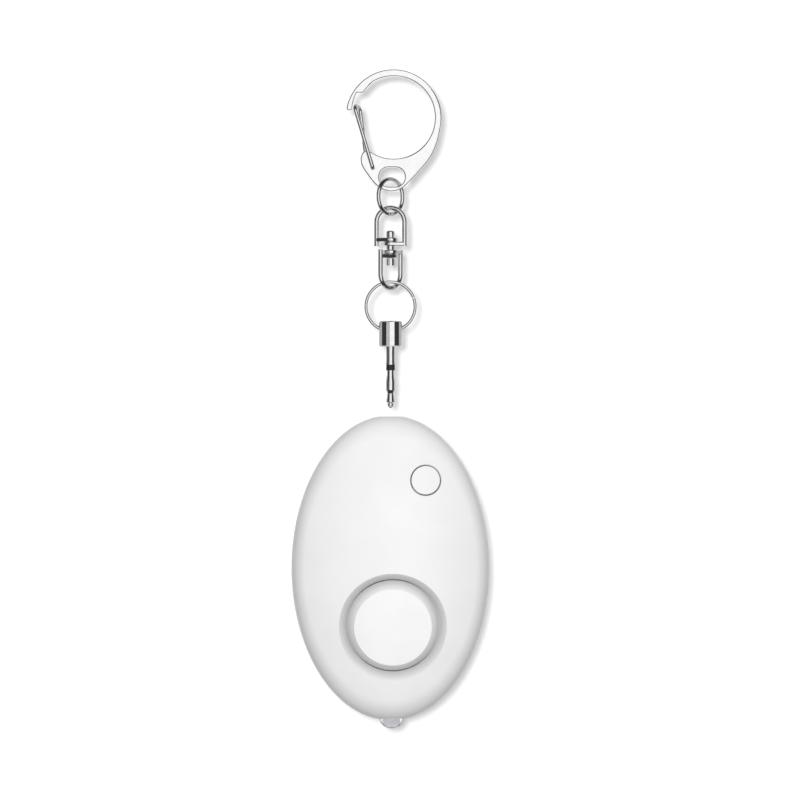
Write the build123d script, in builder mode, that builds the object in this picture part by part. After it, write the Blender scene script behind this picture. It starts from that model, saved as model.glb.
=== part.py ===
"""Personal safety alarm: an egg-shaped siren case, the pin that is pulled from it, and its key clip.

Millimetres, +Z up. The alarm hangs from its clip. The origin is the point of the bow that it
hangs from, at the top of the inside. The front, with the siren and the torch button, faces -Y.
Clip, links, swivel, ring, pin and case hang in one line on the Z axis. The pin stands pulled out
of the case, with its tip just above the hole that it goes back into.
"""

import os
from math import asin, cos, degrees, radians, sin, sqrt

from build123d import *

os.makedirs("parts", exist_ok=True)

# Case
case_length = 61.0
case_width = 39.6
case_depth = 20.0
case_wall = 1.5
rim_radius = 6.0
lip_height = 1.1
lip_thickness = 0.7
lip_clearance = 0.08
back_flat = 0.6
seam_edge = 0.18
part_gap = 0.15
overrun = 1.0

# Siren opening and sounder
siren_x = 0.5
siren_above_foot = 18.9
siren_rim_radius = 10.75
siren_throat_radius = 9.3
siren_disc_radius = 7.65
siren_slot = 0.2
groove_depth = 2.2
siren_collar_wall = 2.5
siren_land = 0.23
siren_flange = 0.6
siren_flange_lap = 1.4
piezo_ring_wall = 1.5
piezo_ring_height = 0.8
piezo_radius = 9.9
piezo_thickness = 0.25
ceramic_radius = 7.0
ceramic_thickness = 0.2

# Torch button and its switch
button_below_top = 12.9
button_radius = 2.85
button_clearance = 0.18
button_proud = 0.25
button_edge = 0.2
button_hole_edge = 0.12
button_travel = 0.5
button_flange = 0.7
button_flange_lap = 0.7
button_flange_clearance = 0.05
button_collar_wall = 1.0
plunger_radius = 1.1
plunger_clearance = 0.15
switch_side = 6.0
switch_height = 1.4
switch_pit = 1.25
switch_socket_gap = 0.5

# Torch lamp
led_x = 0.2
led_radius = 2.5
led_rim_radius = 2.9
led_rim_height = 1.0
led_length = 8.2
led_stand_out = 1.7
led_clearance = 0.12
lead_radius = 0.25
lead_pitch = 2.54
lead_lap = 2.6

# Circuit board and what it carries
board_thickness = 1.0
board_front = -1.7
board_edge_gap = 0.7
board_lamp_gap = 1.5
chip_length, chip_width, chip_height = 4.9, 3.9, 1.4
chip_row_gap, chip_cell_drop = 3.9, 4.0
transistor_length, transistor_width, transistor_height = 2.9, 1.6, 1.1
part_row_gap, transistor_cell_drop = 3.7, 1.4
inductor_radius, inductor_height = 2.5, 2.6
inductor_socket_gap, inductor_button_drop = 2.6, 2.0
capacitor_radius, capacitor_height = 1.8, 2.4
capacitor_socket_gap, capacitor_button_rise = 1.2, 4.0
resistor_length, resistor_width, resistor_height = 2.0, 1.25, 0.5
resistor_pitch = 2.6
resistor_count = 4
resistor_cell_drop = 6.2

# Button cells
cell_radius = 5.8
cell_height = 5.4
cell_count = 3
cell_depth_place = 1.75
cell_seal_radius = 4.6
cell_seal_step = 0.25
cell_air = 0.03
cell_clearance = 0.15
cell_contact = 0.3
cell_contact_side = 8.0
cell_contact_tab = 2.0
cradle_wall = 1.1
cradle_gap = 0.45
cradle_socket_gap = 3.25

# Case screws
post_cradle_gap, post_cell_rise = 1.05, 5.0
post_flange_gap, post_turn = 0.16, 33.3
screw_radius = 0.8
screw_length = 5.2
screw_head_radius = 1.5
screw_head_height = 1.1
screw_cross_length, screw_cross_width = 1.9, 0.45
screw_cross_depth = 0.6
screw_clearance = 0.15
screw_bite = 0.05
screw_tip_room = 0.2
screw_seat = 2.4
boss_radius = 2.1
boss_board_gap = 0.3

# Pull pin
barrel_radius = 2.35
barrel_length = 5.14
barrel_edge = 0.2
sleeve_radius = 0.98
sleeve_length = 3.6
sleeve_neck = 0.07
insulator_length = 1.14
insulator_radius = 0.87
tip_length = 7.55
tip_bulge_radius = 0.94
tip_waist_radius = 0.74
tip_groove_radius = 0.66
tip_foot_radius = 0.9
tip_nose_radius = 0.6
core_radius = 0.4
core_length = 2.0
core_clearance = 0.02
pin_tip_above_case = 1.4
pin_bore_clearance = 0.2
pin_seat_depth = 0.25
pin_seat_clearance = 0.25
socket_width, socket_depth, socket_height = 7.0, 6.0, 12.0
socket_top_below_case = 4.2
socket_floor = 1.6
contact_thickness = 0.3
contact_width = 2.4
contact_length = 9.0
contact_tail = 2.6
contact_gap = 0.05
contact_reach = 0.1
socket_gap = 0.2
wire_radius = 0.3
wire_bend = 0.5
wire_x = 3.2
wire_run = 3.0
wire_knee_share = 0.48
wire_bend_share = 0.7

# Jump ring
ring_radius = 4.91
ring_wire = 0.66
ring_split_degrees = 1.4
ring_split_place = 21.0
ring_slack = 0.4
pin_hole_radius = 0.8
pin_hole_drop = 1.71

# Shackles and swivel
shackle_width = 6.7
shackle_height = 8.15
shackle_wire = 1.0
tongue_thickness = 0.85
tongue_eye_radius = 1.5
tongue_edge = 0.28
tongue_inset = 0.06
lower_shackle_turn = 46.0
upper_shackle_turn = -12.0
swivel_gap = 0.75
rivet_radius = 0.55
rivet_clearance = 0.06
rivet_head_radius = 0.88
rivet_head_height = 1.4
rivet_head_edge = 0.4
rivet_neck_radius = 0.85
rivet_float = 0.06

# Oval link
link_width = 7.6
link_height = 7.9
link_wire = 0.86
link_turn = 45.0
link_slack = 1.14
shackle_slack = 0.35

# Key clip
bow_inner_radius = 8.25
bow_band = 1.35
bow_x = 0.6
clip_depth = 2.0
clip_edge = 0.25
nose_band, nose_tip_band = 0.75, 1.2
nose_tip_round = 0.45
plate_start = 9.8
nose_start, nose_end = 146.0, 171.0
nose_gap = 3.0
heel_band = 1.8
heel_start, heel_end = 118.0, 141.0
heel_sag = 0.05
eye_width, eye_height = 5.15, 3.9
eye_corner = 1.9
eye_shift = -0.325
eye_drop = 11.9
gate_wire = 0.8
gate_clearance = 0.1
gate_foot_x, gate_foot_drop = -4.15, 10.1
gate_top_x, gate_top_rise = -7.9, 2.45
gate_rear_x, gate_rear_rise = -6.75, 2.15
gate_heel_x, gate_heel_drop = -5.3, 9.5
gate_open = 28.0
gate_hole_clearance = 0.08
gate_hole_depth = 1.2
gate_bend = 1.1
gate_foot_bend = 0.5
gate_pocket_depth = 0.75
gate_stud = 0.5
gate_foot_length = 1.1

# Where the pin tip's outline turns, from the insulator down, as shares of the tip's length
tip_drop_shares = [0.0, 0.07, 0.335, 0.52, 0.61, 0.84, 0.87]

# Outline of the clip's plate about the bow's centre, as shares of the bow's outer radius
plate_side_shares = [(0.905, -0.53), (0.75, -0.855), (0.56, -1.09), (0.31, -1.36), (0.175, -1.475)]
plate_left_shares = [(-0.055, -1.54), (-0.3, -1.46), (-0.55, -1.18), (-0.685, -0.86), (-0.645, -0.735)]
plate_lobe_shares = (-0.5, -0.66)
lobe_heading = (0.9, 0.43)

# Heights that follow from the sizes above, from the top down
bow_outer_radius = bow_inner_radius + bow_band
bow_z = -sqrt(bow_inner_radius**2 - bow_x**2)
eye_x = bow_x + eye_shift
eye_z = bow_z - eye_drop
link_top = eye_z - eye_height / 2 + link_slack + link_wire
link_bottom = link_top - link_height
upper_arch_top = link_bottom + link_wire + shackle_slack + shackle_wire
upper_strap_bottom = upper_arch_top - shackle_height
lower_strap_top = upper_strap_bottom - swivel_gap
lower_arch_bottom = lower_strap_top - shackle_height
ring_top = lower_arch_bottom + shackle_wire + ring_slack + ring_wire
ring_z = ring_top - ring_wire / 2 - ring_radius
barrel_rise_of_ring = ring_radius - sqrt(ring_radius**2 - barrel_radius**2)
pin_hole_z = ring_z - ring_radius + barrel_rise_of_ring / 2
barrel_top = pin_hole_z + pin_hole_drop
barrel_bottom = barrel_top - barrel_length
sleeve_bottom = barrel_bottom - sleeve_length
insulator_bottom = sleeve_bottom - insulator_length
tip_bottom = insulator_bottom - tip_length
case_top = tip_bottom - pin_tip_above_case
case_z = case_top - case_length / 2
strap_height = 2 * tongue_thickness
board_back = board_front + board_thickness
mid_arc = radians(45)

# Places on the case that follow, from its centre
siren_drop = case_length / 2 - siren_above_foot
button_x = socket_width / 2 + switch_socket_gap + switch_side / 2
button_rise = case_length / 2 - button_below_top
socket_bottom_rise = case_length / 2 - socket_top_below_case - socket_height
cradle_half_height = cell_radius + cell_clearance + cradle_wall
cell_rise = socket_bottom_rise - cradle_socket_gap - cradle_half_height
cell_bay = cell_count * cell_height + 2 * (cell_contact + cell_clearance)
cradle_length = cell_bay + 2 * cradle_wall
board_bottom_drop = case_length / 2 + led_stand_out - led_length - board_lamp_gap
board_opening = cell_bay / 2 + cell_clearance
siren_flange_radius = siren_throat_radius + siren_flange_lap
post_reach = siren_flange_radius + post_flange_gap + boss_radius
screw_x_upper = cradle_length / 2 + post_cradle_gap + boss_radius
screw_x_lower = siren_x + post_reach * cos(radians(post_turn))
screw_drop_lower = siren_drop + post_reach * sin(radians(post_turn))


def bow_offset(x, rise):
    """A point of the clip's face given from the bow's centre."""
    return (bow_x + x, bow_z + rise)


gate_foot = bow_offset(gate_foot_x, -gate_foot_drop)
gate_heel = bow_offset(gate_heel_x, -gate_heel_drop)
half_open = radians(gate_open / 2)
heel_x, heel_z = gate_heel[0] - gate_foot[0], gate_heel[1] - gate_foot[1]
gate_pocket_radius = gate_wire / 2 + sqrt(heel_x**2 + heel_z**2) * sin(half_open) + gate_clearance
gate_pocket = (
    gate_foot[0] + heel_x * cos(half_open) + heel_z * sin(half_open),
    gate_foot[1] - heel_x * sin(half_open) + heel_z * cos(half_open),
)


def at_case(x, y, rise):
    """A point given from the case's centre."""
    return Vector(x, y, case_z + rise)


# Smooth form of the case
def dome_rise(half_length, half_depth, rim):
    """How far behind the middle plane the crown's arc has its centre."""
    reach = half_length - rim
    stand = half_depth - rim
    return (reach**2 - stand**2) / (2 * stand)


dome_offset = dome_rise(case_length / 2, case_depth / 2, rim_radius)
dome_radius = case_depth / 2 + dome_offset


def pebble(inset):
    """The case's outer form, drawn in by inset all round, about the case's centre."""
    half_length = case_length / 2 - inset
    half_depth = case_depth / 2 - inset
    rim = rim_radius - inset
    rim_centre = case_length / 2 - rim_radius
    crown = dome_radius - inset
    turn = degrees(asin(rim_centre / (dome_radius - rim_radius)))
    with BuildPart() as form:
        with BuildSketch(Plane.XY):
            with BuildLine():
                edge_x = rim_centre + rim * sin(radians(turn))
                edge_y = rim * cos(radians(turn))
                mid_x = crown * sin(radians(turn / 2))
                mid_y = crown * cos(radians(turn / 2)) - dome_offset
                ThreePointArc((0, half_depth), (mid_x, mid_y), (edge_x, edge_y))
                ThreePointArc((edge_x, edge_y), (half_length, 0), (edge_x, -edge_y))
                ThreePointArc((edge_x, -edge_y), (mid_x, -mid_y), (0, -half_depth))
                Line((0, -half_depth), (0, half_depth))
            make_face()
        revolve(axis=Axis.Y)
    squeeze = (case_width / 2 - inset) / half_length
    return Pos(0, 0, case_z) * scale(form.part, by=(squeeze, 1, 1))


def dome_front(x, rise):
    """The Y of the case's front surface over a point given from the case's centre."""
    reach = sqrt(rise**2 + (x * case_length / case_width) ** 2)
    return dome_offset - sqrt(dome_radius**2 - reach**2)


outer_form = pebble(0)
cavity_form = pebble(case_wall)
lip_form = pebble(case_wall - lip_thickness)
lip_groove_form = pebble(case_wall - lip_thickness - lip_clearance)
board_form = pebble(case_wall + board_edge_gap)
button_form = pebble(-button_proud)
mid_wall_form = pebble(case_wall / 2)

# The throat is as deep as the dome falls at its side, and leaves a land under its bevel
siren_tilt = degrees(asin(siren_drop / dome_radius))
siren_front = dome_front(siren_x, -siren_drop)
siren_side_front = dome_front(siren_x + siren_throat_radius, -siren_drop)
siren_fall = (siren_side_front - siren_front) * cos(radians(siren_tilt))
siren_seat_depth = siren_fall + groove_depth + siren_land

# Places inside the case that follow from the sizes above, as depths and rises from its centre
button_bore = button_radius + button_clearance
button_flange_back = -board_front + switch_height + button_travel + button_flange_clearance
button_flange_front = button_flange_back + button_flange
button_seat = button_flange_front + button_flange_clearance
plunger_length = button_flange_back + board_front - switch_height + switch_pit - button_travel - part_gap / 2
pilot_depth = screw_length - screw_seat + screw_tip_room
cell_contact_radius = cell_contact_side / 2
cradle_front = board_back + cradle_gap
siren_back = siren_seat_depth + siren_flange
ceramic_back = siren_back + piezo_ring_height + piezo_thickness + ceramic_thickness
led_tip = case_z - case_length / 2 - led_stand_out
lead_y = board_back + lead_radius
lead_length = case_z - board_bottom_drop + lead_lap - (led_tip + led_length)
pin_bore = sleeve_radius + pin_bore_clearance
socket_bottom = case_z + socket_bottom_rise
contact_inner = tip_bulge_radius + contact_reach
tail_width = contact_width / 2 - board_back
tail_y = contact_width / 2 - tail_width / 2
core_bore = core_radius + core_clearance
rivet_top = upper_strap_bottom + strap_height + rivet_head_height
rivet_bottom = lower_strap_top - strap_height - rivet_float - rivet_head_height


# The siren faces along the dome's own slope. Its plane lies on the dome, with Z pointing inward
siren_point = at_case(siren_x, siren_front, -siren_drop)
siren_inward = Vector(0, cos(radians(siren_tilt)), sin(radians(siren_tilt)))
siren_plane = Plane(origin=siren_point, x_dir=(1, 0, 0), z_dir=siren_inward)

# The button works along Y, from its own plane at the case's centre depth
button_point = at_case(button_x, dome_front(button_x, button_rise), button_rise)
button_plane = Plane(origin=at_case(button_x, 0, button_rise), x_dir=(1, 0, 0), z_dir=(0, 1, 0))
screw_places = [
    (screw_x_upper, cell_rise + post_cell_rise),
    (-screw_x_upper, cell_rise + post_cell_rise),
    (screw_x_lower, -screw_drop_lower),
    (-screw_x_lower, -screw_drop_lower),
]


def case_plane(depth):
    """A plane square to Y at this depth, seen from the front, centred on the case."""
    return Plane(origin=at_case(0, depth, 0), x_dir=(1, 0, 0), z_dir=(0, -1, 0))


# Cut shapes and posts that both shells share
with BuildPart() as siren_collar:
    with BuildSketch(siren_plane.offset(-case_wall)):
        Circle(siren_throat_radius + siren_collar_wall)
    extrude(amount=siren_seat_depth + case_wall)
    add(mid_wall_form, mode=Mode.INTERSECT)

with BuildPart() as button_collar:
    with BuildSketch(button_plane.offset(-case_depth / 2)):
        Circle(button_bore + button_collar_wall)
    extrude(amount=case_depth / 2 - button_seat)
    add(mid_wall_form, mode=Mode.INTERSECT)

with BuildPart() as screw_posts:
    with BuildSketch(case_plane(case_depth / 2)):
        with Locations(screw_places):
            Circle(boss_radius)
    extrude(amount=case_depth)
    add(mid_wall_form, mode=Mode.INTERSECT)

with BuildPart() as end_bores:
    with BuildSketch(Plane.XY.offset(case_top - pin_seat_depth)):
        Circle(barrel_radius + pin_seat_clearance)
    extrude(amount=overrun)
    with BuildSketch(Plane.XY.offset(case_top - 2 * case_wall)):
        Circle(pin_bore)
    extrude(amount=2 * case_wall)
    with BuildSketch(Plane.XY.offset(led_tip)):
        with Locations((led_x, 0)):
            Circle(led_radius + led_clearance)
    extrude(amount=led_stand_out + 2 * case_wall)

with BuildPart() as lip_room:
    with BuildSketch(case_plane(overrun)):
        Rectangle(2 * case_width, 2 * case_length)
    extrude(amount=overrun + lip_height + lip_clearance)
    add(lip_groove_form, mode=Mode.INTERSECT)

with BuildPart() as lip_band:
    with BuildSketch(case_plane(0)):
        Rectangle(2 * case_width, 2 * case_length)
    extrude(amount=lip_height)
    add(lip_form, mode=Mode.INTERSECT)
    add(cavity_form, mode=Mode.SUBTRACT)

# Front shell
with BuildPart() as front_shell:
    add(outer_form)
    split(bisect_by=Plane.XZ, keep=Keep.TOP)
    chamfer(front_shell.edges().filter_by_position(Axis.Y, 0, 0), seam_edge)
    add(cavity_form, mode=Mode.SUBTRACT)
    add(lip_room.part, mode=Mode.SUBTRACT)
    add(siren_collar.part)
    add(button_collar.part)
    add(split(screw_posts.part, bisect_by=Plane.XZ, keep=Keep.TOP, mode=Mode.PRIVATE))
    with BuildSketch(siren_plane.offset(-case_depth / 2)):
        Circle(siren_throat_radius)
    extrude(amount=case_depth, mode=Mode.SUBTRACT)
    throat = front_shell.faces().filter_by(GeomType.CYLINDER).sort_by_distance(siren_point)[0]
    throat_edges = throat.edges().filter_by(GeomType.BSPLINE)
    chamfer(throat_edges, groove_depth, siren_rim_radius - siren_throat_radius, reference=throat)
    with BuildSketch(button_plane):
        Circle(button_bore)
    extrude(amount=-case_depth, mode=Mode.SUBTRACT)
    hole_edge = front_shell.edges().filter_by(GeomType.BSPLINE).sort_by_distance(button_point)[0]
    chamfer(hole_edge, button_hole_edge)
    with BuildSketch(case_plane(overrun)):
        with Locations(screw_places):
            Circle(screw_radius + screw_bite)
    extrude(amount=overrun + pilot_depth, mode=Mode.SUBTRACT)
    add(end_bores.part, mode=Mode.SUBTRACT)
front_shell.part.label = "front_shell"
export_step(front_shell.part, "parts/front_shell.step")

# Rear shell, with the lip that enters the front shell and the cradle for the cells
with BuildPart() as cell_cradle:
    with BuildSketch(case_plane(cradle_front)):
        with Locations((0, cell_rise)):
            Rectangle(cradle_length, 2 * cradle_half_height)
    extrude(amount=-case_depth)
    add(mid_wall_form, mode=Mode.INTERSECT)

with BuildPart() as rear_shell:
    add(outer_form)
    split(bisect_by=Plane.XZ, keep=Keep.BOTTOM)
    chamfer(rear_shell.edges().filter_by_position(Axis.Y, 0, 0), seam_edge)
    add(cavity_form, mode=Mode.SUBTRACT)
    add(lip_band.part)
    add(cell_cradle.part)
    with BuildSketch(Plane(at_case(-cell_bay / 2, cell_depth_place, cell_rise), z_dir=(1, 0, 0))):
        Circle(cell_radius + cell_clearance)
    extrude(amount=cell_bay, mode=Mode.SUBTRACT)
    add(split(screw_posts.part, bisect_by=Plane.XZ, keep=Keep.BOTTOM, mode=Mode.PRIVATE))
    with BuildSketch(case_plane(case_depth / 2 - back_flat)):
        Rectangle(case_width, case_length)
    extrude(amount=-case_depth, mode=Mode.SUBTRACT)
    with BuildSketch(case_plane(-overrun)):
        with Locations(screw_places):
            Circle(screw_radius + screw_clearance)
    extrude(amount=-case_depth, mode=Mode.SUBTRACT)
    with BuildSketch(case_plane(screw_seat)):
        with Locations(screw_places):
            Circle(screw_head_radius + screw_clearance)
    extrude(amount=-case_depth, mode=Mode.SUBTRACT)
    add(end_bores.part, mode=Mode.SUBTRACT)
rear_shell.part.label = "rear_shell"
export_step(rear_shell.part, "parts/rear_shell.step")

# Case screws, with a cross recess in each head
with BuildPart() as case_screws:
    with BuildSketch(case_plane(screw_seat)):
        with Locations(screw_places):
            Circle(screw_radius)
    extrude(amount=screw_length)
    with BuildSketch(case_plane(screw_seat)):
        with Locations(screw_places):
            Circle(screw_head_radius)
    extrude(amount=-screw_head_height)
    with BuildSketch(case_plane(screw_seat + screw_head_height)):
        with Locations(screw_places):
            Rectangle(screw_cross_length, screw_cross_width)
            Rectangle(screw_cross_width, screw_cross_length)
    extrude(amount=screw_cross_depth, mode=Mode.SUBTRACT)
case_screws.part.label = "case_screws"
export_step(case_screws.part, "parts/case_screws.step")

# Siren cap: a disc flush with the dome, held by its flange behind the collar
with BuildPart() as siren_cap:
    with BuildSketch(siren_plane.offset(-case_depth / 2)):
        Circle(siren_throat_radius - siren_slot)
    extrude(amount=case_depth / 2 + siren_seat_depth)
    add(outer_form, mode=Mode.INTERSECT)
    cap_side = siren_cap.faces().filter_by(GeomType.CYLINDER).sort_by_distance(siren_point)[0]
    cap_edges = cap_side.edges().filter_by(GeomType.BSPLINE)
    slope_width = siren_throat_radius - siren_slot - siren_disc_radius
    chamfer(cap_edges, groove_depth, slope_width, reference=cap_side)
    with BuildSketch(siren_plane.offset(siren_seat_depth)):
        Circle(siren_flange_radius)
    extrude(amount=siren_flange)
siren_cap.part.label = "siren_cap"
export_step(siren_cap.part, "parts/siren_cap.step")

# Sounder behind the cap: spacer ring, brass disc and ceramic disc
with BuildPart() as piezo_ring:
    with BuildSketch(siren_plane.offset(siren_back)):
        Circle(piezo_radius)
        Circle(piezo_radius - piezo_ring_wall, mode=Mode.SUBTRACT)
    extrude(amount=piezo_ring_height)
piezo_ring.part.label = "piezo_ring"
export_step(piezo_ring.part, "parts/piezo_ring.step")

with BuildPart() as piezo_disc:
    with BuildSketch(siren_plane.offset(siren_back + piezo_ring_height)):
        Circle(piezo_radius)
    extrude(amount=piezo_thickness)
piezo_disc.part.label = "piezo_disc"
export_step(piezo_disc.part, "parts/piezo_disc.step")

with BuildPart() as piezo_ceramic:
    with BuildSketch(siren_plane.offset(siren_back + piezo_ring_height + piezo_thickness)):
        Circle(ceramic_radius)
    extrude(amount=ceramic_thickness)
piezo_ceramic.part.label = "piezo_ceramic"
export_step(piezo_ceramic.part, "parts/piezo_ceramic.step")

# Torch button and the plunger that it presses
with BuildPart() as torch_button:
    with BuildSketch(button_plane):
        Circle(button_radius)
    extrude(amount=-case_depth)
    add(button_form, mode=Mode.INTERSECT)
    fillet(torch_button.edges().filter_by(GeomType.BSPLINE).sort_by(Axis.Y)[0], button_edge)
    with BuildSketch(button_plane.offset(-button_flange_front)):
        Rectangle(case_width, case_width)
    extrude(amount=case_depth, mode=Mode.SUBTRACT)
    with BuildSketch(button_plane.offset(-button_flange_front)):
        Circle(button_bore + button_flange_lap)
    extrude(amount=button_flange)
torch_button.part.label = "torch_button"
export_step(torch_button.part, "parts/torch_button.step")

with BuildPart() as switch_plunger:
    with BuildSketch(button_plane.offset(-button_flange_back)):
        Circle(plunger_radius)
    extrude(amount=plunger_length)
switch_plunger.part.label = "switch_plunger"
export_step(switch_plunger.part, "parts/switch_plunger.step")

with BuildPart() as tact_switch:
    with BuildSketch(button_plane.offset(board_front - switch_height)):
        Rectangle(switch_side, switch_side)
    extrude(amount=switch_height)
    with BuildSketch(button_plane.offset(board_front - switch_height)):
        Circle(plunger_radius + plunger_clearance)
    extrude(amount=switch_pit, mode=Mode.SUBTRACT)
tact_switch.part.label = "tact_switch"
export_step(tact_switch.part, "parts/tact_switch.step")

# Circuit board, cut round the cells, the pin socket and the screw posts
with BuildPart() as circuit_board:
    with BuildSketch(case_plane(board_back)):
        Rectangle(case_width, case_length)
    extrude(amount=board_thickness)
    add(board_form, mode=Mode.INTERSECT)
    with BuildSketch(case_plane(board_back + overrun)):
        with Locations((0, cell_rise)):
            Rectangle(2 * board_opening, 2 * (cell_radius + cell_clearance))
        with Locations((0, socket_bottom_rise - socket_gap + case_length / 2)):
            Rectangle(socket_width + 2 * socket_gap, case_length)
        with Locations((0, -board_bottom_drop - case_length / 2)):
            Rectangle(case_width, case_length)
        with Locations(screw_places):
            Circle(boss_radius + boss_board_gap)
    extrude(amount=board_thickness + 2 * overrun, mode=Mode.SUBTRACT)
circuit_board.part.label = "circuit_board"
export_step(circuit_board.part, "parts/circuit_board.step")


def board_block(name, x, rise, length, width, height):
    """A flat part soldered to the front of the board."""
    with BuildPart() as block:
        with BuildSketch(case_plane(board_front)):
            with Locations((x, rise)):
                Rectangle(length, width)
        extrude(amount=height)
    block.part.label = name
    export_step(block.part, f"parts/{name}.step")


def board_can(name, x, rise, radius, height):
    """A round part soldered to the front of the board."""
    with BuildPart() as can:
        with BuildSketch(case_plane(board_front)):
            with Locations((x, rise)):
                Circle(radius)
        extrude(amount=height)
    can.part.label = name
    export_step(can.part, f"parts/{name}.step")


chip_x = -(board_opening + chip_row_gap)
part_row_x = board_opening + part_row_gap
inductor_x = -(socket_width / 2 + inductor_socket_gap + inductor_radius)
capacitor_x = -(socket_width / 2 + capacitor_socket_gap + capacitor_radius)
board_block("driver_chip", chip_x, cell_rise - chip_cell_drop, chip_width, chip_length, chip_height)
board_block("transistor", part_row_x, cell_rise - transistor_cell_drop, transistor_width, transistor_length,
            transistor_height)
board_can("inductor", inductor_x, button_rise - inductor_button_drop, inductor_radius, inductor_height)
board_can("capacitor", capacitor_x, button_rise + capacitor_button_rise, capacitor_radius, capacitor_height)

with BuildPart() as resistors:
    with BuildSketch(case_plane(board_front)):
        for index in range(resistor_count):
            with Locations((part_row_x, cell_rise - resistor_cell_drop - index * resistor_pitch)):
                Rectangle(resistor_length, resistor_width)
    extrude(amount=resistor_height)
resistors.part.label = "resistors"
export_step(resistors.part, "parts/resistors.step")

# Torch lamp: a round-ended lens with a rim at its foot, and two leads along the board's back
with BuildPart() as torch_led:
    with BuildSketch(Plane(origin=(led_x, 0, 0), x_dir=(1, 0, 0), z_dir=(0, -1, 0))):
        with BuildLine():
            Polyline(
                (0, led_tip + led_length),
                (led_rim_radius, led_tip + led_length),
                (led_rim_radius, led_tip + led_length - led_rim_height),
                (led_radius, led_tip + led_length - led_rim_height),
                (led_radius, led_tip + led_radius),
            )
            dome_x = led_radius * sin(mid_arc)
            dome_z = led_tip + led_radius - led_radius * cos(mid_arc)
            ThreePointArc((led_radius, led_tip + led_radius), (dome_x, dome_z), (0, led_tip))
            Line((0, led_tip), (0, led_tip + led_length))
        make_face()
    revolve(axis=Axis((led_x, 0, 0), (0, 0, 1)))
torch_led.part.label = "torch_led"
export_step(torch_led.part, "parts/torch_led.step")

with BuildPart() as led_leads:
    with BuildSketch(Plane.XY.offset(led_tip + led_length)):
        with Locations((led_x - lead_pitch / 2, lead_y), (led_x + lead_pitch / 2, lead_y)):
            Circle(lead_radius)
    extrude(amount=lead_length)
led_leads.part.label = "led_leads"
export_step(led_leads.part, "parts/led_leads.step")

# Button cells in a row, each with its narrower seal end
with BuildPart() as button_cells:
    for index in range(cell_count):
        start = (index - cell_count / 2) * cell_height
        with BuildSketch(Plane(at_case(start, cell_depth_place, cell_rise), z_dir=(1, 0, 0))):
            Circle(cell_radius)
        extrude(amount=cell_height - cell_seal_step)
        with BuildSketch(
            Plane(at_case(start + cell_height - cell_seal_step, cell_depth_place, cell_rise), z_dir=(1, 0, 0))
        ):
            Circle(cell_seal_radius)
        extrude(amount=cell_seal_step - cell_air)
button_cells.part.label = "button_cells"
export_step(button_cells.part, "parts/button_cells.step")

with BuildPart() as cell_contacts:
    for side in (-1, 1):
        plate_x = side * (cell_bay - cell_contact) / 2
        with BuildSketch(case_plane(board_back)):
            with Locations((side * (cell_bay + cell_contact_tab) / 2, cell_rise)):
                Rectangle(cell_contact_tab, cell_contact_tab)
        extrude(amount=-cell_contact)
        with BuildSketch(case_plane(board_back)):
            with Locations((plate_x, cell_rise)):
                Rectangle(cell_contact, cell_contact_tab)
        extrude(amount=-(cell_depth_place - board_back))
        plate_foot = at_case(plate_x - cell_contact / 2, cell_depth_place, cell_rise)
        with BuildSketch(Plane(plate_foot, z_dir=(1, 0, 0))):
            Circle(cell_contact_radius)
        extrude(amount=cell_contact)
cell_contacts.part.label = "cell_contacts"
export_step(cell_contacts.part, "parts/cell_contacts.step")

# Pin socket and the two contacts that the pin holds apart
with BuildPart() as pin_socket:
    with BuildSketch(Plane.XY.offset(socket_bottom)):
        Rectangle(socket_width, socket_depth)
    extrude(amount=socket_height)
    with BuildSketch(Plane.XY.offset(socket_bottom + socket_floor)):
        Circle(pin_bore)
    extrude(amount=socket_height, mode=Mode.SUBTRACT)
    with BuildSketch(Plane.XY.offset(socket_bottom - overrun)):
        for side in (-1, 1):
            with Locations((side * (contact_inner + contact_thickness / 2), 0)):
                Rectangle(contact_thickness + 2 * contact_gap, contact_width + 2 * contact_gap)
    extrude(amount=overrun + contact_length + contact_gap, mode=Mode.SUBTRACT)
pin_socket.part.label = "pin_socket"
export_step(pin_socket.part, "parts/pin_socket.step")

with BuildPart() as socket_contacts:
    for side in (-1, 1):
        with BuildSketch(Plane.XY.offset(socket_bottom)):
            with Locations((side * (contact_inner + contact_thickness / 2), 0)):
                Rectangle(contact_thickness, contact_width)
        extrude(amount=contact_length)
        with BuildSketch(Plane.XY.offset(socket_bottom)):
            with Locations((side * (contact_inner + contact_thickness / 2), tail_y)):
                Rectangle(contact_thickness, tail_width)
        extrude(amount=-contact_tail)
socket_contacts.part.label = "socket_contacts"
export_step(socket_contacts.part, "parts/socket_contacts.step")

# Leads from the sounder to the board
with BuildPart() as piezo_leads:
    for side in (-1, 1):
        foot = siren_plane.from_local_coords((side * wire_x, 0, ceramic_back))
        knee = foot + siren_inward * (wire_knee_share * (board_front - foot.Y))
        reach = Vector(knee.X, knee.Y, knee.Z + wire_run)
        end = Vector(reach.X, board_front, reach.Z)
        with BuildLine():
            bend = min(wire_bend, wire_bend_share * (board_front - reach.Y))
            route = FilletPolyline(foot, knee, reach, end, radius=bend)
        with BuildSketch(Plane(foot, z_dir=siren_inward)):
            Circle(wire_radius)
        sweep(path=route)
piezo_leads.part.label = "piezo_leads"
export_step(piezo_leads.part, "parts/piezo_leads.step")

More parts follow.
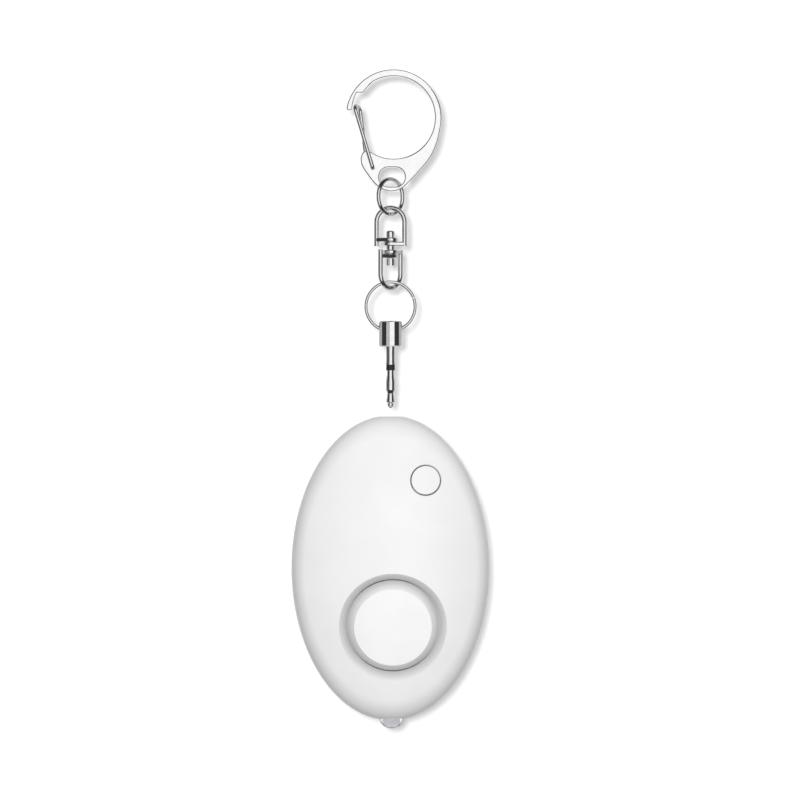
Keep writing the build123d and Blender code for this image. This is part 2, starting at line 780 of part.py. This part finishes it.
# Pull pin: barrel with a cross hole for the ring, sleeve, insulating band and contact tip
with BuildPart() as pin_barrel:
    with BuildSketch(Plane.XY.offset(barrel_bottom)):
        Circle(barrel_radius)
    extrude(amount=barrel_length)
    chamfer(pin_barrel.edges().filter_by(GeomType.CIRCLE), barrel_edge)
    with BuildSketch(Plane(origin=(0, 0, pin_hole_z), z_dir=(1, 0, 0))):
        Circle(pin_hole_radius)
    extrude(amount=barrel_radius + overrun, both=True, mode=Mode.SUBTRACT)
    with BuildSketch(Plane.XY.offset(barrel_bottom)):
        Circle(core_bore)
    extrude(amount=core_length, mode=Mode.SUBTRACT)
pin_barrel.part.label = "pin_barrel"
export_step(pin_barrel.part, "parts/pin_barrel.step")

with BuildPart() as pin_sleeve:
    with BuildSketch(Plane.XZ):
        with BuildLine():
            sleeve_middle = (barrel_bottom + sleeve_bottom) / 2
            Line((core_bore, barrel_bottom), (sleeve_radius, barrel_bottom))
            ThreePointArc(
                (sleeve_radius, barrel_bottom),
                (sleeve_radius - sleeve_neck, sleeve_middle),
                (sleeve_radius, sleeve_bottom),
            )
            Polyline((sleeve_radius, sleeve_bottom), (core_bore, sleeve_bottom), (core_bore, barrel_bottom))
        make_face()
    revolve(axis=Axis.Z)
pin_sleeve.part.label = "pin_sleeve"
export_step(pin_sleeve.part, "parts/pin_sleeve.step")

with BuildPart() as pin_insulator:
    with BuildSketch(Plane.XY.offset(insulator_bottom)):
        Circle(insulator_radius)
        Circle(core_bore, mode=Mode.SUBTRACT)
    extrude(amount=insulator_length)
pin_insulator.part.label = "pin_insulator"
export_step(pin_insulator.part, "parts/pin_insulator.step")

# The tip's outline runs down from the insulator: waist, bulge, groove, flared foot and small nose
with BuildPart() as pin_tip:
    with BuildSketch(Plane.XZ):
        with BuildLine():
            down = [insulator_bottom - share * tip_length for share in tip_drop_shares]
            top, waist, bulge, bulge_end, groove, foot, foot_end = down
            heel = tip_bottom + tip_nose_radius
            nose_x = tip_nose_radius * sin(mid_arc)
            nose_z = heel - tip_nose_radius * cos(mid_arc)
            Line((0, top), (tip_waist_radius, top))
            Line((tip_waist_radius, top), (tip_waist_radius, waist))
            Spline(
                (tip_waist_radius, waist),
                (tip_bulge_radius, bulge),
                tangents=((0, -1), (0, -1)),
            )
            Line((tip_bulge_radius, bulge), (tip_bulge_radius, bulge_end))
            Line((tip_bulge_radius, bulge_end), (tip_groove_radius, groove))
            Line((tip_groove_radius, groove), (tip_foot_radius, foot))
            Line((tip_foot_radius, foot), (tip_nose_radius, foot_end))
            Line((tip_nose_radius, foot_end), (tip_nose_radius, heel))
            ThreePointArc((tip_nose_radius, heel), (nose_x, nose_z), (0, tip_bottom))
            Line((0, tip_bottom), (0, top))
        make_face()
    revolve(axis=Axis.Z)
    with BuildSketch(Plane.XY.offset(insulator_bottom)):
        Circle(core_radius)
    extrude(amount=insulator_length + sleeve_length + core_length - core_clearance)
pin_tip.part.label = "pin_tip"
export_step(pin_tip.part, "parts/pin_tip.step")

# Jump ring, open by a hair where its ends meet
with BuildPart() as jump_ring:
    split_turn = radians(ring_split_place)
    ring_start = (ring_radius * cos(split_turn), 0, ring_z + ring_radius * sin(split_turn))
    section_x = (cos(split_turn), 0, sin(split_turn))
    with BuildSketch(Plane(origin=ring_start, x_dir=section_x, z_dir=(-sin(split_turn), 0, cos(split_turn)))):
        Circle(ring_wire / 2)
    revolve(axis=Axis((0, 0, ring_z), (0, -1, 0)), revolution_arc=360 - ring_split_degrees)
jump_ring.part.label = "jump_ring"
export_step(jump_ring.part, "parts/jump_ring.step")


def tongue(leg, foot_z, height):
    """A flattened foot of a shackle, from its leg to the eye round the rivet, with rounded edges."""
    with BuildPart() as foot:
        with BuildSketch(Plane.XY.offset(foot_z)):
            with Locations((leg.X, leg.Y)):
                Circle(shackle_wire / 2 - tongue_inset)
            Circle(tongue_eye_radius)
            make_hull()
        extrude(amount=height)
        fillet(foot.edges().group_by(Axis.Z)[0] + foot.edges().group_by(Axis.Z)[-1], tongue_edge)
    return foot.part


def bow_and_tongues(end_z, up, turn, hole_radius):
    """A shackle: a wire bow whose two feet are flattened, folded in and laid on each other.

    up is 1 for a bow that stands on its tongues and -1 for one that hangs from them."""
    arch = (shackle_width - shackle_wire) / 2
    arch_z = end_z - up * (shackle_wire / 2 + arch)
    foot_z = end_z - up * shackle_height
    side = Plane(origin=(0, 0, 0), x_dir=(cos(radians(turn)), sin(radians(turn)), 0),
                 z_dir=(sin(radians(turn)), -cos(radians(turn)), 0))
    tongues = []
    for level, hand in ((0, 1), (1, -1)):
        leg = side.from_local_coords((hand * arch, 0, 0))
        tongues.append(tongue(leg, foot_z + up * level * tongue_thickness, up * tongue_thickness))
    with BuildPart() as shackle:
        with BuildLine(side):
            Line((-arch, foot_z), (-arch, arch_z))
            ThreePointArc((-arch, arch_z), (0, arch_z + up * arch), (arch, arch_z))
            Line((arch, arch_z), (arch, foot_z))
        with BuildSketch(Plane(origin=side.from_local_coords((-arch, foot_z, 0)), z_dir=(0, 0, up))):
            Circle(shackle_wire / 2)
        sweep()
        add(tongues)
        with BuildSketch(Plane.XY.offset(foot_z - up * overrun)):
            Circle(hole_radius)
        extrude(amount=up * (strap_height + 2 * overrun), mode=Mode.SUBTRACT)
    return shackle


upper_shackle = bow_and_tongues(upper_arch_top, 1, upper_shackle_turn, rivet_radius)
upper_shackle.part.label = "upper_shackle"
export_step(upper_shackle.part, "parts/upper_shackle.step")
lower_shackle = bow_and_tongues(lower_arch_bottom, -1, lower_shackle_turn, rivet_radius + rivet_clearance)
lower_shackle.part.label = "lower_shackle"
export_step(lower_shackle.part, "parts/lower_shackle.step")

# Swivel rivet: fast in the upper shackle, free in the lower one
with BuildPart() as swivel_rivet:
    with BuildSketch(Plane.XY.offset(rivet_bottom)):
        Circle(rivet_head_radius)
    extrude(amount=rivet_head_height)
    with BuildSketch(Plane.XY.offset(rivet_bottom)):
        Circle(rivet_radius)
    extrude(amount=rivet_top - rivet_bottom)
    with BuildSketch(Plane.XY.offset(lower_strap_top + rivet_float)):
        Circle(rivet_neck_radius)
    extrude(amount=swivel_gap - rivet_float)
    with BuildSketch(Plane.XY.offset(upper_strap_bottom + strap_height)):
        Circle(rivet_head_radius)
    extrude(amount=rivet_head_height)
    fillet(swivel_rivet.edges().group_by(Axis.Z)[-1], rivet_head_edge)
swivel_rivet.part.label = "swivel_rivet"
export_step(swivel_rivet.part, "parts/swivel_rivet.step")

# Oval link between the clip's eye and the upper shackle
with BuildPart() as oval_link:
    link_plane = Plane(origin=(0, 0, link_top - link_height / 2),
                       x_dir=(cos(radians(link_turn)), sin(radians(link_turn)), 0),
                       z_dir=(sin(radians(link_turn)), -cos(radians(link_turn)), 0))
    link_arc = (link_width - link_wire) / 2
    link_straight = (link_height - link_width) / 2
    with BuildLine(link_plane):
        ThreePointArc((link_arc, link_straight), (0, link_straight + link_arc), (-link_arc, link_straight))
        Line((-link_arc, link_straight), (-link_arc, -link_straight))
        ThreePointArc((-link_arc, -link_straight), (0, -link_straight - link_arc), (link_arc, -link_straight))
        Line((link_arc, -link_straight), (link_arc, link_straight))
    link_start = link_plane.from_local_coords((link_arc, link_straight, 0))
    with BuildSketch(Plane(origin=link_start, z_dir=(0, 0, 1))):
        Circle(link_wire / 2)
    sweep()
oval_link.part.label = "oval_link"
export_step(oval_link.part, "parts/oval_link.step")


def bow_point(shares):
    """A point of the clip's outline about the bow's centre."""
    return (bow_x + shares[0] * bow_outer_radius, bow_z + shares[1] * bow_outer_radius)


def bow_polar(radius, angle):
    """A point about the bow's centre, its angle in degrees from +X."""
    return (bow_x + radius * cos(radians(angle)), bow_z + radius * sin(radians(angle)))


# Clip body: the bow, its thin nose, and the plate with the eye and the gate's two holes
with BuildPart() as clip_body:
    with BuildSketch(Plane.XZ.offset(-clip_depth / 2)) as clip_sketch:
        side = [bow_point(shares) for shares in plate_side_shares]
        left = [bow_point(shares) for shares in plate_left_shares]
        lobe_end = bow_point(plate_lobe_shares)
        nose_tip = bow_polar(bow_outer_radius, nose_end)
        nose_foot = bow_polar(bow_outer_radius - nose_tip_band, nose_end)
        shoulder = bow_polar(bow_outer_radius, -plate_start)
        with BuildLine():
            ThreePointArc(nose_tip, bow_polar(bow_outer_radius, nose_end / 2), shoulder)
            Spline(
                shoulder,
                *side,
                *left,
                lobe_end,
                tangents=((-sin(radians(plate_start)), -cos(radians(plate_start))), lobe_heading),
            )
            Polyline(lobe_end, (bow_x, bow_z), nose_tip)
        make_face()
        with Locations((bow_x, bow_z)):
            Circle(bow_inner_radius, mode=Mode.SUBTRACT)
        with BuildLine():
            heel_inner = bow_outer_radius - heel_band
            nose_inner = bow_outer_radius - nose_band
            ThreePointArc(
                bow_polar(bow_inner_radius, heel_start),
                bow_polar((heel_inner + bow_inner_radius) / 2 - heel_sag, (heel_start + heel_end) / 2),
                bow_polar(heel_inner, heel_end),
            )
            Polyline(
                bow_polar(heel_inner, heel_end),
                bow_polar(nose_inner, nose_start),
                bow_polar(bow_outer_radius - nose_band / 2, heel_start),
                bow_polar(bow_inner_radius, heel_start),
            )
        make_face()
        with BuildLine():
            Line(bow_polar(heel_inner, heel_end), bow_polar(nose_inner, nose_start))
            nose_middle = bow_outer_radius - (nose_band + nose_tip_band) / 2
            ThreePointArc(
                bow_polar(nose_inner, nose_start),
                bow_polar(nose_middle, (nose_start + nose_end) / 2),
                nose_foot,
            )
            Polyline(
                nose_foot,
                bow_polar(bow_outer_radius - nose_tip_band, nose_end + nose_gap),
                bow_polar(heel_inner, nose_end + nose_gap),
                bow_polar(heel_inner, heel_end),
            )
        make_face(mode=Mode.SUBTRACT)
        tip_corners = clip_sketch.vertices().sort_by_distance(nose_tip)[:1]
        tip_corners += clip_sketch.vertices().sort_by_distance(nose_foot)[:1]
        fillet(tip_corners, nose_tip_round)
        with Locations((eye_x, eye_z)):
            RectangleRounded(eye_width, eye_height, eye_corner, mode=Mode.SUBTRACT)
    extrude(amount=clip_depth)
    for side in (0, -1):
        clip_face = clip_body.faces().filter_by(Axis.Y).sort_by(Axis.Y)[side]
        fillet(clip_face.edges(), clip_edge)
    with BuildSketch(Plane.XZ.offset(clip_depth / 2)):
        with Locations(gate_foot):
            Circle(gate_wire / 2 + gate_hole_clearance)
    extrude(amount=-gate_hole_depth, mode=Mode.SUBTRACT)
    with BuildSketch(Plane.XZ.offset(-clip_depth / 2)):
        with Locations(gate_pocket):
            Circle(gate_pocket_radius)
    extrude(amount=gate_pocket_depth, mode=Mode.SUBTRACT)
clip_body.part.label = "clip_body"
export_step(clip_body.part, "parts/clip_body.step")

# Gate: one bent wire, with its front foot in the plate's hole and its rear foot in the pocket
with BuildPart() as clip_gate:
    gate_y = clip_depth / 2 + gate_clearance + gate_wire / 2
    top_front = bow_offset(gate_top_x, gate_top_rise)
    top_rear = bow_offset(gate_rear_x, gate_rear_rise)
    gate_points = [
        (gate_foot[0], gate_foot_length - clip_depth / 2, gate_foot[1]),
        (gate_foot[0], -gate_y, gate_foot[1]),
        (top_front[0], -gate_y, top_front[1]),
        (top_rear[0], gate_y, top_rear[1]),
        (gate_heel[0], gate_y, gate_heel[1]),
        (gate_heel[0], clip_depth / 2 - gate_stud, gate_heel[1]),
    ]
    with BuildLine():
        FilletPolyline(*gate_points, radius=[gate_foot_bend, gate_bend, gate_bend, gate_foot_bend])
    with BuildSketch(Plane(origin=gate_points[0], z_dir=(0, -1, 0))):
        Circle(gate_wire / 2)
    sweep()
clip_gate.part.label = "clip_gate"
export_step(clip_gate.part, "parts/clip_gate.step")
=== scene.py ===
"""Looks of the personal safety alarm: the finish of every piece, and a plain white studio round it.

Metres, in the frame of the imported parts: +Z up, the front faces -Y, and the origin is the point
inside the top of the clip's bow that the alarm hangs from.
"""

import math

import bpy
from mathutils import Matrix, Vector


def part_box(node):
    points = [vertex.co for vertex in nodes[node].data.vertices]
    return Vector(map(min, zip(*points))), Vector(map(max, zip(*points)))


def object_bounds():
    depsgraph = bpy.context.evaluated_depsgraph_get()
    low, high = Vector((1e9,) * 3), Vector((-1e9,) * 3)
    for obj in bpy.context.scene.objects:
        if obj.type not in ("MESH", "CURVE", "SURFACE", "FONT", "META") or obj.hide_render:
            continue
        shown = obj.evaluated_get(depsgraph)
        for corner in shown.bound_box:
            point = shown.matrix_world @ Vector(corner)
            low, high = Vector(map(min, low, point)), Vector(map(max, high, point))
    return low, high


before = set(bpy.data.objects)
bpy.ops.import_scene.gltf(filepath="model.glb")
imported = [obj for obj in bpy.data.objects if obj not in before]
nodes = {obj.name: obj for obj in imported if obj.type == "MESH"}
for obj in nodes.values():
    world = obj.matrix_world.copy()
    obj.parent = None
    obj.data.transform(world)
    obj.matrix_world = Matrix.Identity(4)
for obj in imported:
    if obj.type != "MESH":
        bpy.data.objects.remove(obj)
cad_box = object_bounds()

MM = 0.001
RIGHT, AHEAD, UP = Vector((1, 0, 0)), Vector((0, -1, 0)), Vector((0, 0, 1))

# Camera: the photograph is 160 mm wide at 0.2 mm a pixel, and the origin is at this pixel of it
PHOTO_WIDTH = 160 * MM
PIXEL = 0.2 * MM
ORIGIN_PX = (390.5, 76.5)
CENTRE_PX = (400.0, 400.0)
LENS_MM = 200.0
SENSOR_MM = 36.0
CAMERA_NEAR = 10 * MM

# Studio: a white wall behind, a soft lamp in front and one behind, and a sky brighter from above
WALL_GAP = 0.6 * MM
WALL_SIZE = 900 * MM
WALL_COLOUR = (0.9, 0.9, 0.9)
WALL_GLOW = 0.15
KEY_PLACE = Vector((-50, -1100, 42)) * MM
KEY_SIZE = 90 * MM
KEY_POWER = 6.8
FILL_PLACE = Vector((180, 1100, 300)) * MM
FILL_SIZE = 300 * MM
FILL_POWER = 8.0
SKY_BASE = 0.28
SKY_GLOW = 0.55
SKY_FROM = Vector((0.2, -0.75, 0.6))

# What the camera sees past the wall, and through the lens
BACKDROP = 1.0

# What gloss sees: white straight ahead, a grey screen left of it, a dark ring at the sides, above
# and below, grey further round and white again behind. Rings are in degrees from straight ahead.
RING_START, RING_END = 37.0, 92.0
RING_SOFT = 4.0
RING_SHADE = 0.035
BEHIND_SHADE = 0.46
BEHIND_END = 146.0
SCREEN_LEFT, SCREEN_RIGHT = -0.62, -0.16
SCREEN_SOFT = 0.06
SCREEN_SHADE = 0.5

# Painted shade in grooves and gaps: how open a place is, from 0 to 1, where the shade is at its
# darkest and where it ends
PAINTED_SHADE_DEEP, PAINTED_SHADE_OPEN = 0.45, 0.92
PAINTED_SHADE_DARKEST = 0.68
PAINTED_SHADE_REACH = 3.0 * MM
PAINTED_SHADE_SAMPLES = 8

# Plastic: patches of tone and of sheen, and the grain of its orange peel. A noise's scale is in
# repeats a metre. The tone changes between two values of its noise, and the mottle is how far.
# Least and most are the sheen's shares of the roughness.
PLASTIC_TONE = {"scale": 120.0, "detail": 4.0}
PLASTIC_TONE_FROM, PLASTIC_TONE_TO = 0.3, 0.7
PLASTIC_MOTTLE = 0.02
PLASTIC_SHEEN = {"scale": 260.0, "detail": 5.0}
PLASTIC_SHEEN_LEAST, PLASTIC_SHEEN_MOST = 0.85, 1.15
PLASTIC_GRAIN = {"scale": 900.0, "detail": 2.0}
PLASTIC_PEEL = {"strength": 0.35, "distance": 0.004 * MM}

# Metal: patches of tone, as dark as the stain says, and one grain for both the wear of the polish
# and the pits
METAL_TONE = {"scale": 700.0, "detail": 4.0}
METAL_TONE_FROM, METAL_TONE_TO = 0.35, 0.65
METAL_STAIN = 0.12
METAL_GRAIN = 2500.0
METAL_WEAR = {"detail": 6.0, "roughness": 0.6}
METAL_WEAR_LEAST, METAL_WEAR_MOST = 0.6, 1.6
METAL_PIT_DETAIL = 4.0
METAL_PIT_STRENGTH = 0.5
METAL_PIT_DEPTH = 0.004 * MM

# Lens: a clear plastic with a polished, slightly wavy face
LENS_ROUGHNESS = 0.05
LENS_IOR = 1.5
LENS_GRAIN = {"scale": 1500.0, "detail": 2.0}
LENS_WAVES = {"strength": 0.2, "distance": 0.002 * MM}

SHELL_WHITE = (0.86, 0.86, 0.865)
CAP_WHITE = (0.91, 0.91, 0.915)
LENS_TINT = (0.94, 0.95, 1.0)

# Each plastic's name, colour, roughness and pieces
PLASTICS = (
    ("shell plastic", SHELL_WHITE, 0.3, ("front_shell", "rear_shell")),
    ("cap plastic", CAP_WHITE, 0.36, ("siren_cap",)),
    ("button plastic", SHELL_WHITE, 0.3, ("torch_button",)),
    ("band plastic", (0.02, 0.02, 0.022), 0.45, ("pin_insulator",)),
    ("sounder ceramic", (0.82, 0.8, 0.74), 0.6, ("piezo_ceramic",)),
    ("lead sheath", (0.6, 0.05, 0.04), 0.5, ("piezo_leads",)),
    ("board mask", (0.03, 0.2, 0.09), 0.35, ("circuit_board",)),
    ("ferrite", (0.1, 0.1, 0.11), 0.7, ("inductor",)),
    ("black plastic", (0.03, 0.03, 0.033), 0.5,
     ("tact_switch", "driver_chip", "transistor", "resistors", "pin_socket", "switch_plunger",
      "piezo_ring")),
)

# Each metal's name, colour, roughness, values other than the usual ones, and pieces
METALS = (
    ("clip chrome", (0.97, 0.97, 0.975), 0.1, {"stain": 0.04}, ("clip_body",)),
    ("gate wire", (0.96, 0.96, 0.965), 0.1, {"stain": 0.06, "scratch": (6, 6, 1)},
     ("clip_gate",)),
    ("link wire", (0.96, 0.96, 0.965), 0.1, {"stain": 0.06}, ("oval_link", "jump_ring")),
    ("shackle wire", (0.95, 0.95, 0.955), 0.13,
     {"stain": 0.1, "grain": 1800.0, "depth": 0.01 * MM},
     ("upper_shackle", "lower_shackle", "swivel_rivet")),
    ("pin chrome", (0.96, 0.96, 0.97), 0.1, {"stain": 0.1, "scratch": (1, 1, 5)},
     ("pin_barrel", "pin_sleeve", "pin_tip")),
    ("tinned wire", (0.75, 0.75, 0.76), 0.3, {},
     ("led_leads", "cell_contacts", "socket_contacts")),
    ("cell steel", (0.76, 0.76, 0.77), 0.25, {}, ("button_cells", "case_screws")),
    ("sounder brass", (0.8, 0.62, 0.3), 0.3, {}, ("piezo_disc",)),
    ("capacitor can", (0.8, 0.8, 0.82), 0.35, {}, ("capacitor",)),
)


def feed(tree, socket, value):
    """Links a socket to the output of another node, or sets it to a value."""
    if isinstance(value, bpy.types.NodeSocket):
        tree.links.new(value, socket)
    else:
        socket.default_value = value


def add_node(tree, kind, **values):
    """A node of this kind, with its settings and its inputs given by name."""
    node = tree.nodes.new(kind)
    for name, value in values.items():
        label = name.replace("_", " ").title()
        if label in node.inputs:
            feed(tree, node.inputs[label], value)
        else:
            setattr(node, name, value)
    return node


def remap(tree, value, low, high, start=0.0, end=1.0, interpolation_type="LINEAR"):
    """A value that goes from low to high while another goes from start to end."""
    node = add_node(tree, "ShaderNodeMapRange", interpolation_type=interpolation_type,
                    value=value, from_min=start, from_max=end, to_min=low, to_max=high)
    return node.outputs["Result"]


def rise(tree, value, start, width):
    """0 up to start, and 1 from a width further on, with a smooth rise between."""
    return remap(tree, value, 0.0, 1.0, start, start + width, "SMOOTHSTEP")


def fade(tree, cover, shade):
    """White, down to a shade where the cover is full."""
    return remap(tree, cover, 1.0, shade)


def math_node(tree, operation, *values):
    """The result of one sum on values or sockets."""
    node = add_node(tree, "ShaderNodeMath", operation=operation)
    for socket, value in zip(node.inputs, values):
        feed(tree, socket, value)
    return node.outputs["Value"]


def along(tree, way, heading):
    """How far the ray's way points along a heading, from -1 to 1."""
    node = add_node(tree, "ShaderNodeVectorMath", operation="DOT_PRODUCT", vector=way)
    node.inputs[1].default_value = heading.normalized()
    return node.outputs["Value"]


def choose(tree, switch, off, on):
    """One of two values, by a switch of 0 or 1."""
    node = add_node(tree, "ShaderNodeMix", data_type="FLOAT", factor=switch, a=off, b=on)
    return node.outputs["Result"]


def object_place(tree, scale=(1, 1, 1)):
    """The place on the piece itself, stretched by scale, so that a texture moves with the piece."""
    place = tree.nodes.new("ShaderNodeTexCoord").outputs["Object"]
    return add_node(tree, "ShaderNodeMapping", vector=place, scale=scale).outputs["Vector"]


def noise(tree, place, **values):
    """A noise texture's value."""
    return add_node(tree, "ShaderNodeTexNoise", vector=place, **values).outputs["Fac"]


def ramp(tree, value, low, high, low_colour, high_colour):
    """Colours between two places of a value."""
    node = add_node(tree, "ShaderNodeValToRGB", fac=value)
    stops = (low, low_colour), (high, high_colour)
    for element, (position, colour) in zip(node.color_ramp.elements, stops):
        element.position = position
        element.color = (*colour, 1)
    return node.outputs["Color"]


def bump(tree, shader, height, strength, distance):
    """Fine relief on the shader's normal."""
    node = add_node(tree, "ShaderNodeBump", height=height, strength=strength, distance=distance)
    feed(tree, shader.inputs["Normal"], node.outputs["Normal"])


def paint_groove_shade(tree, colour):
    """Darkens a colour in grooves and gaps by how open the place is: painted shade."""
    around = add_node(tree, "ShaderNodeAmbientOcclusion", samples=PAINTED_SHADE_SAMPLES,
                      distance=PAINTED_SHADE_REACH)
    share = remap(tree, around.outputs["AO"], PAINTED_SHADE_DARKEST, 1.0, PAINTED_SHADE_DEEP, PAINTED_SHADE_OPEN)
    node = add_node(tree, "ShaderNodeVectorMath", operation="SCALE", vector=colour, scale=share)
    return node.outputs["Vector"]


def material(name, colour, roughness, **values):
    """A new material and its shader, with values under the names that its inputs have."""
    made = bpy.data.materials.new(name)
    made.use_nodes = True
    shader = made.node_tree.nodes["Principled BSDF"]
    shader.inputs["Base Color"].default_value = (*colour, 1)
    shader.inputs["Roughness"].default_value = roughness
    for label, value in values.items():
        shader.inputs[label.replace("_", " ")].default_value = value
    return made, shader


def plastic(name, colour, roughness):
    """Moulded plastic: a faint orange peel, a sheen that varies a little and painted shade in its
    grooves.
    """
    made, shader = material(name, colour, roughness)
    tree = made.node_tree
    place = object_place(tree)
    tone = noise(tree, place, **PLASTIC_TONE)
    deep = [c * (1 - PLASTIC_MOTTLE) for c in colour]
    pale = [min(1.0, c * (1 + PLASTIC_MOTTLE)) for c in colour]
    # The tone, darkened in grooves and gaps by painted shade
    tint = paint_groove_shade(tree, ramp(tree, tone, PLASTIC_TONE_FROM, PLASTIC_TONE_TO, deep, pale))
    feed(tree, shader.inputs["Base Color"], tint)
    sheen = remap(tree, noise(tree, place, **PLASTIC_SHEEN),
                  roughness * PLASTIC_SHEEN_LEAST, roughness * PLASTIC_SHEEN_MOST)
    feed(tree, shader.inputs["Roughness"], sheen)
    bump(tree, shader, noise(tree, place, **PLASTIC_GRAIN), **PLASTIC_PEEL)
    return made


def metal(name, colour, roughness, scratch=(1, 1, 1), grain=METAL_GRAIN, depth=METAL_PIT_DEPTH,
          stain=METAL_STAIN):
    """Plated metal: drawing marks along the way of least scratch, pits, and a varied finish."""
    made, shader = material(name, colour, roughness, Metallic=1.0)
    tree = made.node_tree
    place = object_place(tree, scratch)
    tone = noise(tree, place, **METAL_TONE)
    deep = [c * (1 - stain) for c in colour]
    tint = ramp(tree, tone, METAL_TONE_FROM, METAL_TONE_TO, deep, colour)
    feed(tree, shader.inputs["Base Color"], tint)
    wear = remap(tree, noise(tree, place, scale=grain, **METAL_WEAR),
                 roughness * METAL_WEAR_LEAST, roughness * METAL_WEAR_MOST)
    feed(tree, shader.inputs["Roughness"], wear)
    pits = noise(tree, place, scale=grain, detail=METAL_PIT_DETAIL)
    bump(tree, shader, pits, METAL_PIT_STRENGTH, depth)
    return made


def lens(name, colour):
    """Clear moulded lens with a faint tint."""
    made, shader = material(name, colour, LENS_ROUGHNESS, Transmission_Weight=1.0, IOR=LENS_IOR)
    tree = made.node_tree
    bump(tree, shader, noise(tree, object_place(tree), **LENS_GRAIN), **LENS_WAVES)
    return made


def dress(made, names):
    """Gives a material to whole pieces."""
    for name in names:
        data = nodes[name].data
        data.materials.clear()
        data.materials.append(made)


def wall_material():
    """White, partly by its own light, and clear from behind."""
    made, shader = material("wall", WALL_COLOUR, 1.0, Specular_IOR_Level=0.0,
                            Emission_Color=(1, 1, 1, 1), Emission_Strength=WALL_GLOW)
    tree = made.node_tree
    geometry = tree.nodes.new("ShaderNodeNewGeometry")
    clear = tree.nodes.new("ShaderNodeBsdfTransparent")
    mix = tree.nodes.new("ShaderNodeMixShader")
    sides = geometry.outputs["Backfacing"], shader.outputs["BSDF"], clear.outputs["BSDF"]
    for socket, output in zip(mix.inputs, sides):
        feed(tree, socket, output)
    feed(tree, tree.nodes["Material Output"].inputs["Surface"], mix.outputs["Shader"])
    return made


def plane(name, centre, across, up, made):
    """A flat rectangle about its centre. Its front is the side of across x up."""
    signs = (-1, -1), (1, -1), (1, 1), (-1, 1)
    corners = [centre + a * across / 2 + b * up / 2 for a, b in signs]
    data = bpy.data.meshes.new(name)
    data.from_pydata(corners, [], [range(len(corners))])
    data.materials.append(made)
    sheet = bpy.data.objects.new(name, data)
    bpy.context.scene.collection.objects.link(sheet)
    return sheet


def lamp(name, place, size, power, target):
    """A soft round lamp that lights matt faces only, and that the camera doesn't see."""
    data = bpy.data.lights.new(name, "AREA")
    data.shape = "DISK"
    data.size = size
    data.energy = power
    held = bpy.data.objects.new(name, data)
    held.location = place
    held.rotation_euler = (target - place).to_track_quat("-Z", "Y").to_euler()
    held.visible_camera = False
    held.visible_glossy = False
    held.visible_transmission = False
    bpy.context.scene.collection.objects.link(held)


def sky_light(tree, way):
    """The light that falls on matt faces: even, and stronger from above the front."""
    lobe = math_node(tree, "MAXIMUM", along(tree, way, SKY_FROM), 0.0)
    glow = math_node(tree, "MULTIPLY", math_node(tree, "MULTIPLY", lobe, lobe), SKY_GLOW)
    return math_node(tree, "ADD", glow, SKY_BASE)


def gloss_light(tree, way):
    """What gloss sees: white, with a grey screen in front, a dark ring round it and grey behind."""
    angle = math_node(tree, "DEGREES", math_node(tree, "ARCCOSINE", along(tree, way, AHEAD)))
    inside = rise(tree, angle, RING_START, RING_SOFT)
    outside = rise(tree, angle, RING_END, RING_SOFT)
    past = rise(tree, angle, BEHIND_END, RING_SOFT)
    ring = math_node(tree, "SUBTRACT", inside, outside)
    behind = math_node(tree, "SUBTRACT", outside, past)

    across = along(tree, way, RIGHT)
    left = rise(tree, across, SCREEN_LEFT, SCREEN_SOFT)
    right = rise(tree, across, SCREEN_RIGHT, SCREEN_SOFT)
    front = math_node(tree, "SUBTRACT", 1.0, outside)
    screen = math_node(tree, "MULTIPLY", math_node(tree, "SUBTRACT", left, right), front)

    light = fade(tree, screen, SCREEN_SHADE)
    for cover, shade in ((ring, RING_SHADE), (behind, BEHIND_SHADE)):
        light = math_node(tree, "MULTIPLY", light, fade(tree, cover, shade))
    return light


def studio_world():
    """The surroundings: one light for matt faces, one for gloss, and white for the camera."""
    world = bpy.data.worlds.new("studio")
    world.use_nodes = True
    tree = world.node_tree
    way = tree.nodes.new("ShaderNodeTexCoord").outputs["Generated"]
    ray = tree.nodes.new("ShaderNodeLightPath").outputs
    lit = choose(tree, ray["Is Glossy Ray"], sky_light(tree, way), gloss_light(tree, way))
    seen = math_node(tree, "MAXIMUM", ray["Is Camera Ray"], ray["Is Transmission Ray"])
    background = tree.nodes["Background"]
    background.inputs["Color"].default_value = (1, 1, 1, 1)
    feed(tree, background.inputs["Strength"], choose(tree, seen, lit, BACKDROP))
    return world


def photo_camera(target):
    """The photograph's camera, level and straight ahead of the target."""
    data = bpy.data.cameras.new("camera")
    data.lens = LENS_MM
    data.sensor_width = SENSOR_MM
    data.clip_start = CAMERA_NEAR
    camera = bpy.data.objects.new("camera", data)
    camera.location = target + AHEAD * PHOTO_WIDTH * LENS_MM / SENSOR_MM
    camera.rotation_euler = (math.radians(90), 0, 0)
    bpy.context.scene.collection.objects.link(camera)
    return camera


# Looks of the pieces
for name, colour, roughness, pieces in PLASTICS:
    dress(plastic(name, colour, roughness), pieces)
for name, colour, roughness, others, pieces in METALS:
    dress(metal(name, colour, roughness, **others), pieces)
dress(lens("lamp lens", LENS_TINT), ("torch_led",))

# Studio about the middle of the photograph. The wall also stands behind the reach of the case
# turned on its swivel. Only the camera and the lens see it, so that it dims no light on the back
# and shows in no metal.
aim = Vector(((CENTRE_PX[0] - ORIGIN_PX[0]) * PIXEL, 0, -(CENTRE_PX[1] - ORIGIN_PX[1]) * PIXEL))
rear = cad_box[1][1]
turned_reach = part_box("front_shell")[1][0]
wall_place = Vector((aim.x, max(rear, turned_reach) + WALL_GAP, aim.z))
wall = plane("wall", wall_place, RIGHT * WALL_SIZE, UP * WALL_SIZE, wall_material())
wall.visible_diffuse = False
wall.visible_glossy = False
wall.visible_shadow = False
lamp("key", aim + KEY_PLACE, KEY_SIZE, KEY_POWER, aim)
lamp("fill", aim + FILL_PLACE, FILL_SIZE, FILL_POWER, aim)
bpy.context.scene.world = studio_world()
bpy.context.scene.camera = photo_camera(aim)
bpy.context.scene.view_settings.view_transform = "Standard"
